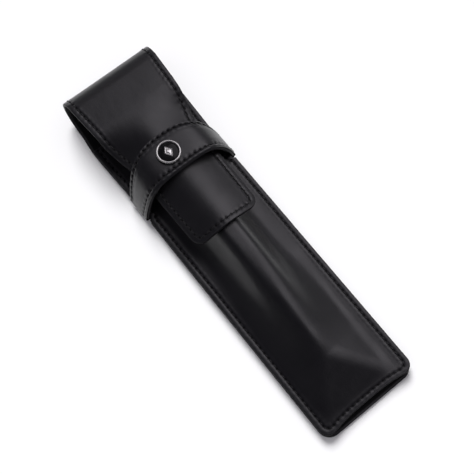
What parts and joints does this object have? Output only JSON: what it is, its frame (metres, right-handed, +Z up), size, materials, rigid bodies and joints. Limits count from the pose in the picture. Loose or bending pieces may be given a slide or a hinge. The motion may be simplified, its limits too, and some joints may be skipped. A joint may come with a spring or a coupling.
{
  "type": "fountain pen case",
  "caption": "Leather case for a fountain pen: sewn pouch moulded over the pen, fold-over flap whose tongue tucks under an arched strap with a riveted badge.",
  "frame": {"origin": "middle of the rest face, below the centre of the case's box", "axes": "+Z up out of the case's front, +Y along the pen towards the fold, +X across the case"},
  "size_m": [0.0442, 0.1644, 0.0222],
  "materials": {
    "leather": "smooth, semi-gloss, fine pores",
    "lining": "matt",
    "thread": "waxed",
    "badge_metal": "polished",
    "badge_enamel": "gloss"
  },
  "bodies": {
    "case": {"back_panel": "leather", "back_lining": "lining", "front_panel": "leather", "front_lining": "lining", "seam_thread_front": "thread", "seam_thread_back": "thread", "mouth_thread": "thread", "strap": "leather", "strap_lining": "lining", "strap_thread_upper": "thread", "strap_thread_lower": "thread", "badge_bezel": "badge_metal", "badge_disc": "badge_enamel", "badge_emblem": "badge_metal", "badge_rivet": "badge_metal", "badge_washer": "badge_metal"},
    "flap_riser": {"flap_riser_leather": "leather", "flap_riser_lining": "lining", "flap_riser_thread_left": "thread", "flap_riser_thread_right": "thread"},
    "flap_bend": {"flap_bend_leather": "leather", "flap_bend_lining": "lining", "flap_bend_thread_left": "thread", "flap_bend_thread_right": "thread"},
    "flap_crown": {"flap_crown_leather": "leather", "flap_crown_lining": "lining", "flap_crown_thread_left": "thread", "flap_crown_thread_right": "thread"},
    "flap_front": {"flap_front_leather": "leather", "flap_front_lining": "lining", "flap_front_thread": "thread"}
  },
  "joints": [
    {"name": "flap_draw", "type": "slide", "parent": "case", "child": "flap_riser", "axis": [0, 1, 0], "range_m": [0, 0.0225]},
    {"name": "flap_open", "type": "hinge", "parent": "flap_riser", "child": "flap_bend", "pos_m": [0, 0.07886, 0.00277], "axis": [-1, 0, 0], "range_deg": [0, 85]},
    {"name": "fold_upper", "type": "hinge", "parent": "flap_bend", "child": "flap_crown", "pos_m": [0, 0.07886, 0.01613], "axis": [-1, 0, 0], "range_deg": [0, 85]},
    {"name": "front_draw", "type": "slide", "parent": "flap_crown", "child": "flap_front", "axis": [0, 1, 0], "range_m": [0, 0.0225], "deforming": ["flap_front_leather", "flap_front_lining", "flap_front_thread"]}
  ],
  "couplings": [
    {"joint": "fold_upper", "follows": "flap_open", "ratio": 1},
    {"joint": "front_draw", "follows": "flap_draw", "ratio": 1}
  ]
}
